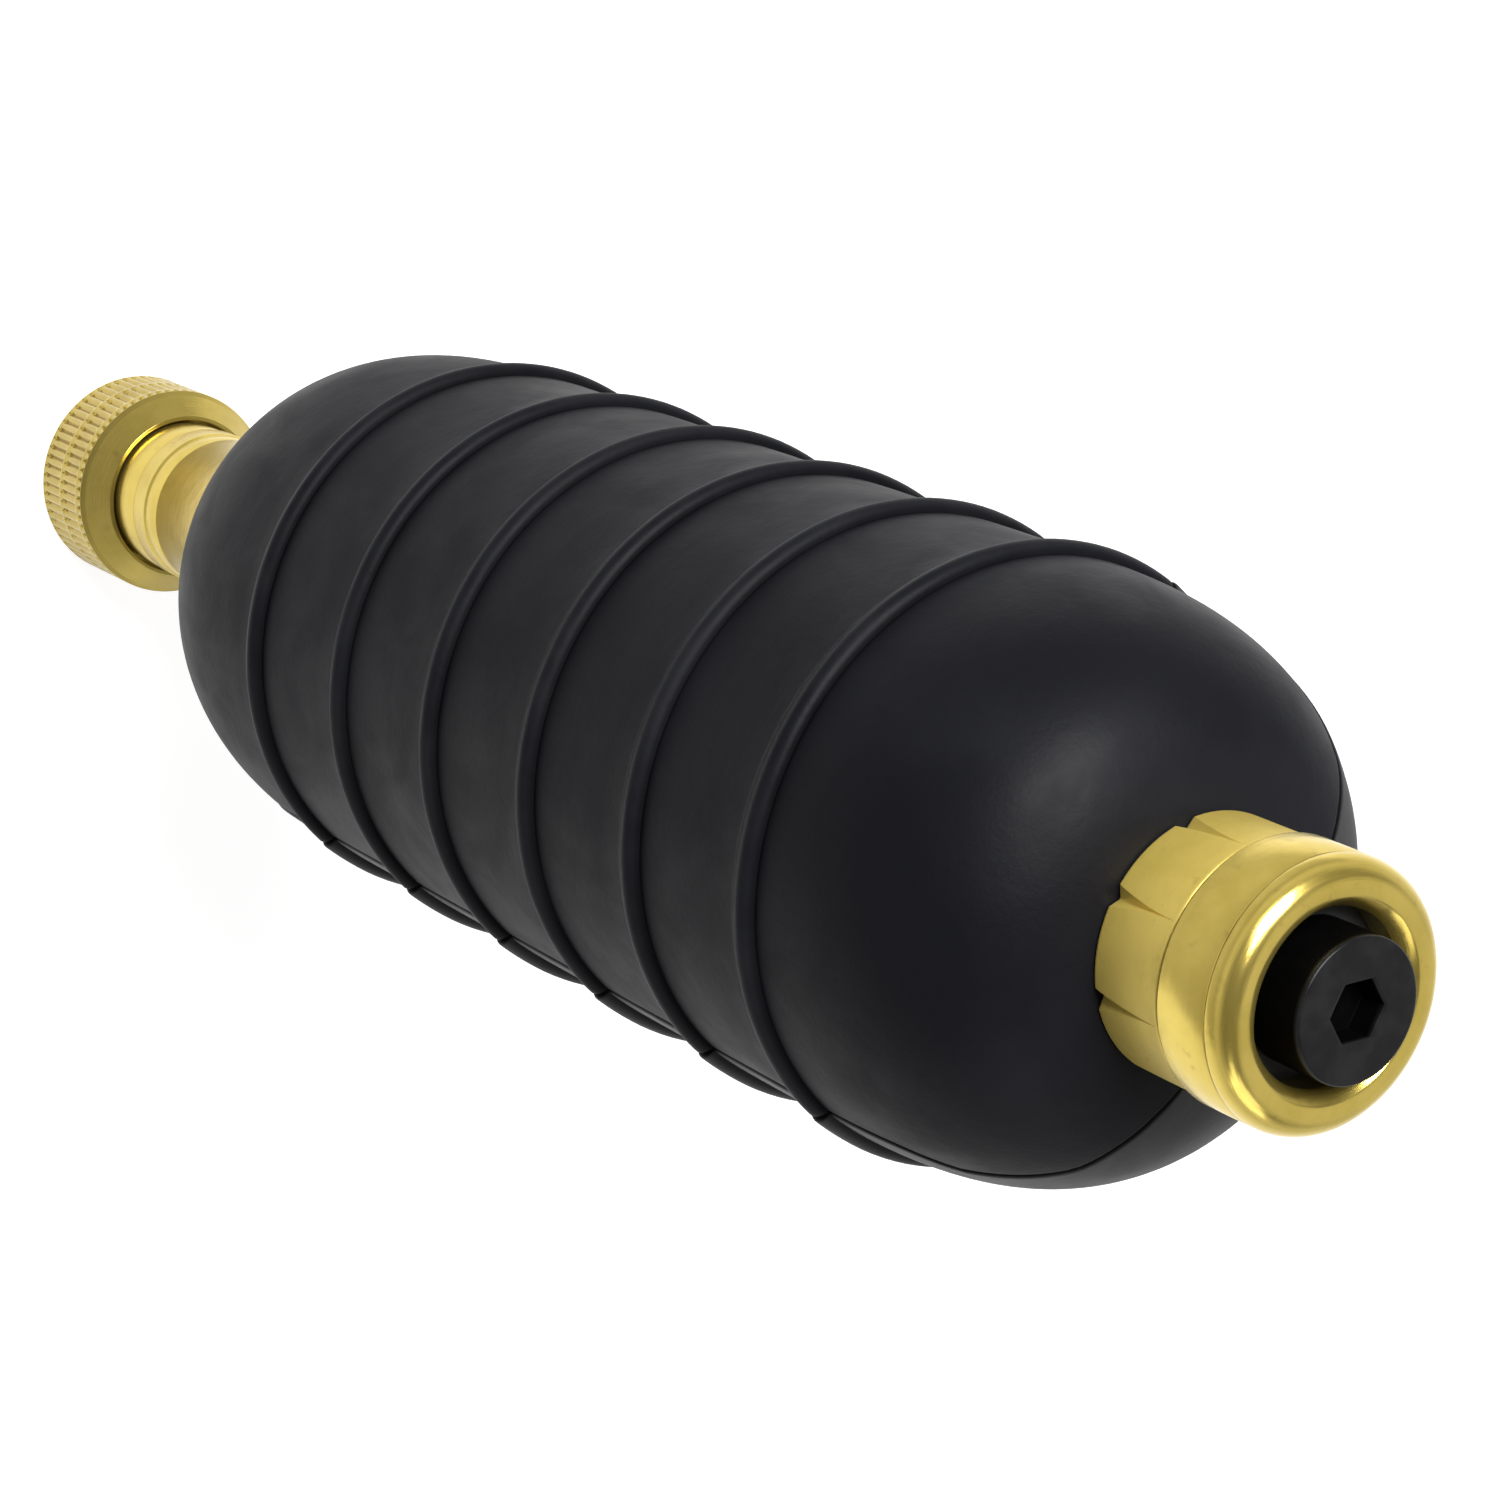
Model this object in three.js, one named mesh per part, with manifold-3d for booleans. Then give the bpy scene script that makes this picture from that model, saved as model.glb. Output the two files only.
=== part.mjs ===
// Drain cleaning bladder: a ribbed rubber bladder with a brass hose coupling and a brass valve nozzle.
// Millimetres, +Z up. The axis of the bladder is Z, with the open face of the coupling nut at z = 0.
import * as THREE from "three";
import { mergeVertices } from "three/addons/utils/BufferGeometryUtils.js";
import Module from "manifold-3d";

const wasm = await Module();
wasm.setup();

// Fits
const seatGap = 0.1;
const threadClearance = 0.1;
const swivelClearance = 0.2;
const guideClearance = 0.1;

// Rubber bladder
const bodyRadius = 35.3;
const bodyWall = 4;
const neckWall = 6;
const ribHeight = 1.2;
const ribCount = 6;
const ribPitch = 23;
const ribSoftWidth = 3.2;
const ribCrispWidth = 1.4;
const rearSeatZ = 63.4;
const rearShoulder = 42;
const rearBluntness = 2.5;
const firstRibFromShoulder = 5.6;
const lastRibOverShoulder = 8;
const frontShoulder = 41.8;
const frontBluntness = 3.3;
const seatRadius = 16;
const innerSeatRadius = 19;

// Brass tubes and the two ring nuts that clamp the domes
const shankRadius = 11.3;
const inletBore = 6.5;
const flangeRadius = 18;
const flangeThickness = 3;
const ringNutRadius = 14.6;
const ringNutLength = 10.2;
const ringNutChamfer = 0.5;
const grooveCount = 8;
const grooveWidth = 3;
const grooveDepth = 1;
const groovePhase = THREE.MathUtils.degToRad(12.6);

// Coupling nut, for a 3/4 in hose thread
const nutRadius = 15.75;
const nutWall = 2.75;
const nutLip = 1.2;
const nutSlopeLand = 0.6;
const nutKnurlLength = 14.6;
const nutSlopeLength = 3.1;
const nutThreadDepth = 12.4;
const nutChamfer = 0.6;
const knurlCount = 66;
const knurlDepth = 0.5;
const beadRowLength = 1.6;
const beadGrooveWidth = 0.5;
const washerThickness = 3;
const washerBore = 7.5;

// Tail piece between the coupling nut and the rear dome
const tailFlangeThickness = 2;
const neckDepth = 0.5;
const landStart = 24;
const landLength = 4;

// Nozzle
const headRadius = 15.1;
const headLength = 10.8;
const headGap = 0.3;
const headRearChamfer = 0.4;
const headRimRounding = 3;
const mouthRadius = 9.7;
const mouthDish = 1.9;
const lipThickness = 3.2;
const seatRingThickness = 2.9;
const seatRingBore = 6;
const nozzleBore = 7.5;
const guideHubRadius = 4.2;
const guideArmWidth = 2.4;
const guideArmCount = 3;

// Valve
const plugRadius = 8;
const plugProud = 3;
const plugChamfer = 0.35;
const hexAcrossFlats = 6.35;
const hexDepth = 3.5;
const stemRadius = 2.5;
const stemEngagement = 3.1;
const springLength = 14;
const springMeanRadius = 4.6;
const springWireRadius = 0.55;
const springTurns = 5;
const cupRadius = 6.5;
const cupThickness = 2;
const stemNutAcrossFlats = 8;
const stemNutHeight = 4;
const stemEndLength = 1.4;

// Facets round each kind of piece
const rubberFacets = 40;
const brassFacets = 40;
const smallFacets = 24;
const springSides = 5;
const springStepsPerTurn = 12;

// Radii of the swivel, from the coupling nut inwards
const nutThreadRadius = nutRadius - nutWall;
const nutLipRadius = nutThreadRadius - nutLip;
const nutSlopeTopRadius = nutLipRadius + nutSlopeLand;
const landRadius = nutLipRadius - swivelClearance;
const neckRadius = landRadius - neckDepth;

// Stations along the axis that follow from the sizes above
const washerSeatZ = nutThreadDepth - swivelClearance - tailFlangeThickness;
const rearShoulderZ = rearSeatZ + rearShoulder;
const firstRibZ = rearShoulderZ + firstRibFromShoulder;
const lastRibZ = firstRibZ + (ribCount - 1) * ribPitch;
const frontShoulderZ = lastRibZ - lastRibOverShoulder;
const frontSeatZ = frontShoulderZ + frontShoulder;
const neckHoleRadius = shankRadius + seatGap;
const threadHoleRadius = shankRadius + threadClearance;
const headRearZ = frontSeatZ + seatGap + ringNutLength + headGap;
const headCrestZ = headRearZ + headLength;
const mouthEdgeZ = headCrestZ - mouthDish;
const lipZ = mouthEdgeZ - lipThickness;
const seatTopZ = lipZ - seatGap;
const seatBottomZ = seatTopZ - seatRingThickness;
const bodyFrontZ = seatBottomZ - seatGap;
const outletFlangeTopZ = frontSeatZ - neckWall - seatGap;
const outletFlangeBottomZ = outletFlangeTopZ - flangeThickness;
const plugRearZ = seatTopZ + seatGap;
const plugFaceZ = headCrestZ + plugProud;
const stemTopZ = plugRearZ + stemEngagement;
const cupTopZ = outletFlangeBottomZ - springLength;
const stemNutTopZ = cupTopZ - cupThickness - seatGap;
const stemBottomZ = stemNutTopZ - stemNutHeight - stemEndLength;

// A closed geometry as a solid for cutting and joining.
function solid(geometry) {
  const bare = geometry.clone();
  bare.deleteAttribute("normal");
  bare.deleteAttribute("uv");
  const merged = mergeVertices(bare, 1e-4);
  return new wasm.Manifold(
    new wasm.Mesh({
      numProp: 3,
      vertProperties: merged.attributes.position.array,
      triVerts: new Uint32Array(merged.index.array),
    }),
  );
}

// A solid back as a three.js geometry.
function geometryOf(made) {
  const mesh = made.getMesh();
  const geometry = new THREE.BufferGeometry();
  geometry.setAttribute("position", new THREE.BufferAttribute(mesh.vertProperties, 3));
  geometry.setIndex(new THREE.BufferAttribute(mesh.triVerts, 1));
  geometry.computeVertexNormals();
  return geometry;
}

// Points of an ellipse from one angle to another, both ends included, as [radius, z].
function arc(centreR, centreZ, radiusR, radiusZ, from, to, steps) {
  return Array.from({ length: steps + 1 }, (_, i) => {
    const angle = THREE.MathUtils.degToRad(from + ((to - from) * i) / steps);
    return [centreR + radiusR * Math.cos(angle), centreZ + radiusZ * Math.sin(angle)];
  });
}

// A ring or a tube: a closed outline of [radius, z] points, given counter-clockwise, turned about Z.
function turned(outline, facets = brassFacets) {
  const points = [...outline, outline[0]].map(([r, z]) => new THREE.Vector2(r, z));
  return new THREE.LatheGeometry(points, facets).rotateX(Math.PI / 2);
}

// A flat outline of [x, y] points extruded from one height to another.
function prism(outline, fromZ, toZ) {
  const shape = new THREE.Shape(outline.map(([x, y]) => new THREE.Vector2(x, y)));
  const options = { depth: toZ - fromZ, bevelEnabled: false };
  return new THREE.ExtrudeGeometry(shape, options).translate(0, 0, fromZ);
}

function polygon(sides, radius, phase = 0) {
  return Array.from({ length: sides }, (_, i) => {
    const angle = phase + (2 * Math.PI * i) / sides;
    return [radius * Math.cos(angle), radius * Math.sin(angle)];
  });
}

function hexagon(acrossFlats) {
  return polygon(6, acrossFlats / Math.sqrt(3));
}

// How far along a dome of unit length the surface has closed in to a share of its radius.
function domeReach(share, bluntness) {
  return (1 - share ** bluntness) ** (1 / bluntness);
}

// Radius of a dome whose shoulder has the given radius, at a share of the dome's length.
function domeRadius(radius, share, bluntness) {
  return radius * (1 - Math.min(share, 1) ** bluntness) ** (1 / bluntness);
}

// Outer radius of the rubber between its seats, without the ribs.
function skinRadius(z) {
  if (z < rearShoulderZ) {
    const length = rearShoulder / domeReach(seatRadius / bodyRadius, rearBluntness);
    return domeRadius(bodyRadius, (rearShoulderZ - z) / length, rearBluntness);
  }
  if (z > frontShoulderZ) {
    const length = frontShoulder / domeReach(seatRadius / bodyRadius, frontBluntness);
    return domeRadius(bodyRadius, (z - frontShoulderZ) / length, frontBluntness);
  }
  return bodyRadius;
}

// Heights that put even steps on a dome's curve, from its shoulder to its seat.
function domeHeights(shoulderZ, seatZ, bluntness, radius, landRadiusHere, steps) {
  const reach = domeReach(landRadiusHere / radius, bluntness);
  return Array.from({ length: steps }, (_, i) => {
    const share = Math.sin(((i + 1) / steps) * (Math.PI / 2)) ** 0.8;
    const height = i === steps - 1 ? 1 : Math.min(share / reach, 1);
    return shoulderZ + (seatZ - shoulderZ) * height;
  });
}

// One rib from its soft foot on the inlet side over the crest to its crisp foot on the nozzle side.
function ribOutline(crestZ) {
  const softSteps = 3;
  const crispSteps = 4;
  const points = [];
  for (let i = 0; i <= softSteps; i++) {
    const z = crestZ - ribSoftWidth * (1 - i / softSteps);
    const rise = 0.5 - 0.5 * Math.cos((Math.PI * i) / softSteps);
    points.push([skinRadius(z) + ribHeight * rise, z]);
  }
  for (let i = 1; i <= crispSteps; i++) {
    const angle = (Math.PI / 2) * (i / crispSteps);
    const z = crestZ + ribCrispWidth * Math.sin(angle);
    points.push([skinRadius(z) + ribHeight * Math.cos(angle), z]);
  }
  return points;
}

function bladder() {
  const rear = domeHeights(rearShoulderZ, rearSeatZ, rearBluntness, bodyRadius, seatRadius, 7);
  const front = domeHeights(frontShoulderZ, frontSeatZ, frontBluntness, bodyRadius, seatRadius, 8);
  const outer = [[neckHoleRadius, rearSeatZ]];
  rear.reverse().forEach((z) => outer.push([skinRadius(z), z]));
  for (let i = 0; i < ribCount; i++) outer.push(...ribOutline(firstRibZ + i * ribPitch));
  const pastRibs = lastRibZ + ribCrispWidth;
  front.filter((z) => z > pastRibs + 0.5).forEach((z) => outer.push([skinRadius(z), z]));
  outer.push([neckHoleRadius, frontSeatZ]);

  const innerRadius = bodyRadius - bodyWall;
  const inner = [];
  const rearInZ = rearSeatZ + neckWall;
  const frontInZ = frontSeatZ - neckWall;
  const side = [
    [frontShoulderZ, frontInZ, frontBluntness, 1],
    [rearShoulderZ, rearInZ, rearBluntness, -1],
  ];
  for (const [shoulderZ, seatZ, bluntness, sign] of side) {
    const reach = domeReach(innerSeatRadius / innerRadius, bluntness);
    const heights = domeHeights(shoulderZ, seatZ, bluntness, innerRadius, innerSeatRadius, 5);
    const wall = heights.map((z) => {
      const share = (Math.abs(z - shoulderZ) / Math.abs(seatZ - shoulderZ)) * reach;
      return [domeRadius(innerRadius, share, bluntness), z];
    });
    const run = [[innerRadius, shoulderZ], ...wall, [neckHoleRadius, seatZ]];
    inner.push(...(sign > 0 ? run.reverse() : run));
  }
  return turned([...outer, ...inner], rubberFacets);
}

// The outline of a knurled round, with one V cut between each two teeth.
function knurlOutline(radius) {
  const points = [];
  for (let i = 0; i < knurlCount; i++) {
    const tooth = (2 * Math.PI) / knurlCount;
    const marks = [
      [0, radius],
      [0.5, radius - knurlDepth],
    ];
    for (const [share, r] of marks) {
      const angle = (i + share) * tooth;
      points.push([r * Math.cos(angle), r * Math.sin(angle)]);
    }
  }
  return points;
}

function couplingNut() {
  const topZ = nutKnurlLength + nutSlopeLength;
  const beadZ = nutKnurlLength - nutChamfer - beadRowLength;
  const rootRadius = nutRadius - knurlDepth;
  const envelope = turned([
    [nutThreadRadius + nutChamfer, 0],
    [nutRadius - nutChamfer, 0],
    [nutRadius, nutChamfer],
    [nutRadius, beadZ - beadGrooveWidth],
    [rootRadius, beadZ - beadGrooveWidth],
    [rootRadius, beadZ],
    [nutRadius, beadZ],
    [nutRadius, nutKnurlLength - nutChamfer],
    [nutRadius - nutChamfer, nutKnurlLength],
    [nutSlopeTopRadius, topZ],
    [nutLipRadius, topZ],
    [nutLipRadius, nutThreadDepth],
    [nutThreadRadius, nutThreadDepth],
    [nutThreadRadius, nutChamfer],
  ]);
  const knurled = solid(prism(knurlOutline(nutRadius), -1, topZ + 1));
  return geometryOf(solid(envelope).intersect(knurled));
}

function hoseWasher() {
  const topZ = washerSeatZ - seatGap;
  const outer = nutThreadRadius - swivelClearance;
  return turned([
    [washerBore, topZ - washerThickness],
    [outer, topZ - washerThickness],
    [outer, topZ],
    [washerBore, topZ],
  ]);
}

function tailPiece() {
  const flangeRadiusAtNut = nutThreadRadius - swivelClearance;
  const flangeTopZ = washerSeatZ + tailFlangeThickness;
  const landEnd = landStart + landLength;
  const clampZ = rearSeatZ + neckWall + seatGap;
  const edge = 0.4;
  return turned([
    [inletBore, washerSeatZ],
    [flangeRadiusAtNut, washerSeatZ],
    [flangeRadiusAtNut, flangeTopZ],
    [neckRadius, flangeTopZ],
    [neckRadius, landStart - edge],
    [landRadius, landStart],
    [landRadius, landEnd - edge],
    [shankRadius, landEnd],
    [shankRadius, clampZ],
    [flangeRadius, clampZ],
    [flangeRadius, clampZ + flangeThickness - edge],
    [flangeRadius - edge, clampZ + flangeThickness],
    [inletBore, clampZ + flangeThickness],
  ]);
}

// A ring nut with its grooved end at seatZ. The grooves fade out towards the far end.
function ringNut(seatZ, towards) {
  const farZ = seatZ + towards * ringNutLength;
  const lowZ = Math.min(seatZ, farZ);
  const highZ = Math.max(seatZ, farZ);
  const edge = ringNutChamfer;
  let nut = solid(
    turned([
      [threadHoleRadius, lowZ],
      [ringNutRadius - edge, lowZ],
      [ringNutRadius, lowZ + edge],
      [ringNutRadius, highZ - edge],
      [ringNutRadius - edge, highZ],
      [threadHoleRadius, highZ],
    ]),
  );
  const fade = Math.atan2(grooveDepth, ringNutLength) * towards;
  const section = [
    [0, -grooveWidth / 2],
    [0, grooveWidth / 2],
    [-grooveDepth, 0],
  ].map(([x, y]) => [x * 2, y * 2]);
  for (let i = 0; i < grooveCount; i++) {
    const cut = prism(section, -ringNutLength, ringNutLength * 2);
    if (towards < 0) cut.rotateX(Math.PI);
    cut.rotateY(fade);
    cut.translate(ringNutRadius + grooveDepth, 0, seatZ);
    cut.rotateZ(groovePhase + (2 * Math.PI * i) / grooveCount);
    nut = nut.subtract(solid(cut));
  }
  return geometryOf(nut);
}

function nozzleBody() {
  const edge = 0.4;
  let body = solid(
    turned([
      [nozzleBore, outletFlangeBottomZ],
      [flangeRadius - edge, outletFlangeBottomZ],
      [flangeRadius, outletFlangeBottomZ + edge],
      [flangeRadius, outletFlangeTopZ],
      [shankRadius, outletFlangeTopZ],
      [shankRadius, bodyFrontZ],
      [nozzleBore, bodyFrontZ],
    ]),
  );
  const guideTopZ = outletFlangeTopZ + 1;
  const reach = nozzleBore + 1;
  for (let i = 0; i < guideArmCount; i++) {
    const half = guideArmWidth / 2;
    const outline = [
      [0, -half],
      [reach, -half],
      [reach, half],
      [0, half],
    ];
    const arm = prism(outline, outletFlangeBottomZ, guideTopZ);
    arm.rotateZ((2 * Math.PI * i) / guideArmCount);
    body = body.add(solid(arm));
  }
  const hub = prism(polygon(smallFacets, guideHubRadius), outletFlangeBottomZ, guideTopZ);
  const holeRadius = stemRadius + guideClearance;
  const hole = prism(polygon(smallFacets, holeRadius), outletFlangeBottomZ - 1, guideTopZ + 1);
  return geometryOf(body.add(solid(hub)).subtract(solid(hole)));
}

function nozzleHead() {
  const rimR = headRadius - headRimRounding;
  const rimZ = headCrestZ - headRimRounding;
  return turned([
    [threadHoleRadius, headRearZ],
    [headRadius - headRearChamfer, headRearZ],
    [headRadius, headRearZ + headRearChamfer],
    ...arc(rimR, rimZ, headRimRounding, headRimRounding, 0, 110, 8),
    [mouthRadius, mouthEdgeZ],
    [mouthRadius, lipZ],
    [threadHoleRadius, lipZ],
  ]);
}

function valveSeat() {
  return turned([
    [seatRingBore, seatBottomZ],
    [shankRadius, seatBottomZ],
    [shankRadius, seatTopZ],
    [seatRingBore, seatTopZ],
  ]);
}

function valvePlug() {
  const plug = solid(
    turned([
      [0, plugRearZ],
      [plugRadius - plugChamfer, plugRearZ],
      [plugRadius, plugRearZ + plugChamfer],
      [plugRadius, plugFaceZ - plugChamfer],
      [plugRadius - plugChamfer, plugFaceZ],
      [0, plugFaceZ],
    ]),
  );
  const socket = prism(hexagon(hexAcrossFlats), plugFaceZ - hexDepth, plugFaceZ + 1);
  const holeRadius = stemRadius + threadClearance;
  const hole = prism(polygon(smallFacets, holeRadius), plugRearZ - 1, stemTopZ + seatGap);
  return geometryOf(plug.subtract(solid(socket)).subtract(solid(hole)));
}

function valveStem() {
  return prism(polygon(smallFacets, stemRadius), stemBottomZ, stemTopZ);
}

function springCup() {
  const holeRadius = stemRadius + threadClearance;
  return turned(
    [
      [holeRadius, cupTopZ - cupThickness],
      [cupRadius, cupTopZ - cupThickness],
      [cupRadius, cupTopZ],
      [holeRadius, cupTopZ],
    ],
    smallFacets,
  );
}

function stemNut() {
  const bottomZ = stemNutTopZ - stemNutHeight;
  const nut = solid(prism(hexagon(stemNutAcrossFlats), bottomZ, stemNutTopZ));
  const holeRadius = stemRadius + threadClearance;
  const hole = prism(polygon(smallFacets, holeRadius), bottomZ - 1, stemNutTopZ + 1);
  return geometryOf(nut.subtract(solid(hole)));
}

class SpringPath extends THREE.Curve {
  getPoint(t) {
    const angle = 2 * Math.PI * springTurns * t;
    const rise = springLength - 2 * (springWireRadius + seatGap);
    return new THREE.Vector3(
      springMeanRadius * Math.cos(angle),
      springMeanRadius * Math.sin(angle),
      rise * t,
    );
  }
}

function valveSpring() {
  const section = new THREE.Shape(
    polygon(springSides, springWireRadius).map(([x, y]) => new THREE.Vector2(x, y)),
  );
  const options = {
    steps: springTurns * springStepsPerTurn,
    extrudePath: new SpringPath(),
    bevelEnabled: false,
  };
  const base = cupTopZ + springWireRadius + seatGap;
  return new THREE.ExtrudeGeometry(section, options).translate(0, 0, base);
}

// Finishes
const rubber = () => new THREE.MeshStandardMaterial({ color: 0x1d1e22, roughness: 0.6 });
const blackPlastic = () => new THREE.MeshStandardMaterial({ color: 0x111112, roughness: 0.45 });
const brass = () => new THREE.MeshStandardMaterial({ color: 0xc2a64c, roughness: 0.3, metalness: 1 });
const steel = () => new THREE.MeshStandardMaterial({ color: 0xb8bbbf, roughness: 0.35, metalness: 1 });

const part = new THREE.Group();

function place(name, geometry, material, group) {
  const mesh = new THREE.Mesh(geometry, material);
  mesh.name = name;
  group.add(mesh);
}

const housing = new THREE.Group();
place("bladder", bladder(), rubber(), housing);
place("tail_piece", tailPiece(), brass(), housing);
place("inlet_ring_nut", ringNut(rearSeatZ - seatGap, -1), brass(), housing);
place("nozzle_body", nozzleBody(), brass(), housing);
place("nozzle_ring_nut", ringNut(frontSeatZ + seatGap, 1), brass(), housing);
place("nozzle_head", nozzleHead(), brass(), housing);
place("valve_seat", valveSeat(), rubber(), housing);
part.add(housing);

const coupling = new THREE.Group();
place("coupling_nut", couplingNut(), brass(), coupling);
place("hose_washer", hoseWasher(), rubber(), coupling);
part.add(coupling);

const valve = new THREE.Group();
place("valve_plug", valvePlug(), blackPlastic(), valve);
place("valve_stem", valveStem(), steel(), valve);
place("spring_cup", springCup(), steel(), valve);
place("stem_nut", stemNut(), steel(), valve);
place("valve_spring", valveSpring(), steel(), valve);
part.add(valve);

export default part;
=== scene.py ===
"""Looks of a drain cleaning bladder: ribbed rubber, turned and knurled brass, black valve plug.

Lengths are millimetres, and MM turns them into metres.
"""
import math

import bmesh
import bpy
import numpy as np
from mathutils import Matrix, Vector


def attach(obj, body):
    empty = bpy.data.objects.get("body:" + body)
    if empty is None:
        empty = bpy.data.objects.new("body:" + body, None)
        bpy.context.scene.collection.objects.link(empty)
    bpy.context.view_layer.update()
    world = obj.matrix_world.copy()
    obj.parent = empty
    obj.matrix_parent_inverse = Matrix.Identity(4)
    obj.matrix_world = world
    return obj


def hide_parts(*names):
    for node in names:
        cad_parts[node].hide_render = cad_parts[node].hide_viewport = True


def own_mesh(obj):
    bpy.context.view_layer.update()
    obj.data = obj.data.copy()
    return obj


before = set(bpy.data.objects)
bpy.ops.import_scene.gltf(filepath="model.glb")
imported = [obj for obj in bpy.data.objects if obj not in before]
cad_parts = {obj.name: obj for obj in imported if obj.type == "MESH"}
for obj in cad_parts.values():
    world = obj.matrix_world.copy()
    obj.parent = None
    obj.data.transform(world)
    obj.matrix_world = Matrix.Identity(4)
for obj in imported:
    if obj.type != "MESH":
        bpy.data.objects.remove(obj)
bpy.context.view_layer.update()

MM = 0.001
TURN = 2 * math.pi

# Rubber bladder
BODY_RADIUS = 35.3
BODY_WALL = 4
RIB_HEIGHT = 1.2
RIB_COUNT = 6
RIB_PITCH = 23
FIRST_RIB_Z = 111
RIB_SOFT_WIDTH = 3.2
RIB_CRISP_WIDTH = 1.4
SKIN_SETBACK = 0.22
REAR_SEAT_Z = 63.4
REAR_SHOULDER_Z = 105.4
FRONT_SHOULDER_Z = 218
FRONT_SEAT_Z = 259.8
REAR_BLUNTNESS = 2.5
FRONT_BLUNTNESS = 3.3
SEAT_RADIUS = 15
INNER_SEAT_RADIUS = 19
NECK_HOLE_RADIUS = 11.4
NECK_WALL = 6
SEAT_GAP = 0.1

# Brass
SHANK_RADIUS = 11.3
RING_NUT_RADIUS = 14.6
RING_NUT_LENGTH = 10.2
RING_NUT_EDGE = 0.35
GROOVE_COUNT = 8
GROOVE_HALF_WIDTH = 1.3
GROOVE_DEPTH = 1.05
GROOVE_PHASE = math.radians(12.6)
NUT_RADIUS = 15.75
NUT_THREAD_RADIUS = 13
NUT_KNURL_LENGTH = 14.6
NUT_LENGTH = 17.7
NUT_CHAMFER = 0.6
NUT_SLOPE_TOP_RADIUS = 12.4
NUT_LIP_RADIUS = 11.8
NUT_THREAD_DEPTH = 12.4
KNURL_COUNT = 66
KNURL_DEPTH = 0.5
KNURL_ROWS = ((0.75, 6.5), (7.0, 12.1), (12.6, 13.95))
THREAD_PITCH = 2.21
THREAD_DEPTH = 0.95
INLET_BORE = 6.5
TAIL_FLANGE_RADIUS = 12.8
TAIL_FLANGE_Z = 10.2
TAIL_FLANGE_TOP_Z = 12.2
NECK_RADIUS = 11.1
COLLAR_RADIUS = 11.4
COLLAR_Z = 17.0
LAND_RADIUS = 11.6
LAND_Z = 24.0
LAND_END_Z = 28.0
TURNED_LINE_Z = 31.05
CLAMP_RADIUS = 18
CLAMP_Z = 69.5
CLAMP_END_Z = 72.5
HEAD_RADIUS = 15.1
HEAD_REAR_Z = 270.4
HEAD_CREST_Z = 281.2
HEAD_ROUNDING = 3.0
MOUTH_RADIUS = 9.7
MOUTH_DISH = 1.9
FACE_STEP_RADIUS = 12.6

# Seals
WASHER_BORE = 7.5
WASHER_Z = 7.1
WASHER_TOP_Z = 10.1
VALVE_SEAT_BORE = 6
VALVE_SEAT_Z = 273.1
VALVE_SEAT_TOP_Z = 276

# Valve
PLUG_RADIUS = 8.0
PLUG_CHAMFER = 0.35
PLUG_REAR_Z = 276.1
PLUG_FACE_Z = 284.2
HEX_ACROSS_FLATS = 6.35
HEX_DEPTH = 3.5
SPRING_BOTTOM_Z = 236.8
SPRING_TOP_Z = 250.6
SPRING_MEAN_RADIUS = 4.6
SPRING_WIRE_RADIUS = 0.55
SPRING_TURNS = 5


# Mesh code
def even_turn(columns, phase=0.0):
    return phase + np.arange(columns) * TURN / columns


def round_row(radius, z, angles):
    """One ring of points; radius is a number or one value for each angle."""
    ring = np.empty((len(angles), 3))
    ring[:, 0] = radius * np.cos(angles)
    ring[:, 1] = radius * np.sin(angles)
    ring[:, 2] = z
    return ring


def soften(outline, steps=4, hold=0.12):
    """An outline of (r, z) or (r, z, fillet) corners, with each fillet made an arc."""
    points = []
    count = len(outline)
    for index, corner in enumerate(outline):
        here = np.array(corner[:2], float)
        fillet = corner[2] if len(corner) > 2 else 0
        if not fillet:
            points.append(here)
            continue
        back = np.array(outline[index - 1][:2], float) - here
        on = np.array(outline[(index + 1) % count][:2], float) - here
        back_length, on_length = np.linalg.norm(back), np.linalg.norm(on)
        back, on = back / back_length, on / on_length
        half = math.acos(np.clip(back @ on, -1, 1)) / 2
        reach = fillet / math.tan(half)
        centre = here + (back + on) / np.linalg.norm(back + on) * fillet / math.sin(half)
        first, last = here + back * reach - centre, here + on * reach - centre
        sweep = math.pi - 2 * half
        if reach + hold < back_length * 0.5:
            points.append(here + back * (reach + hold))
        for step in range(steps + 1):
            share = step / steps
            mixed = (
                math.sin((1 - share) * sweep) * first + math.sin(share * sweep) * last
            ) / math.sin(sweep)
            points.append(centre + mixed)
        if reach + hold < on_length * 0.5:
            points.append(here + on * (reach + hold))
    return points


def dense(points, step, wanted):
    """Splits the stretches whose middle is wanted into runs no longer than step."""
    out = []
    for index, start in enumerate(points):
        end = points[(index + 1) % len(points)]
        out.append(start)
        if wanted((start + end) / 2):
            pieces = max(1, math.ceil(np.linalg.norm(end - start) / step))
            out.extend(start + (end - start) * k / pieces for k in range(1, pieces))
    return out


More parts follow.
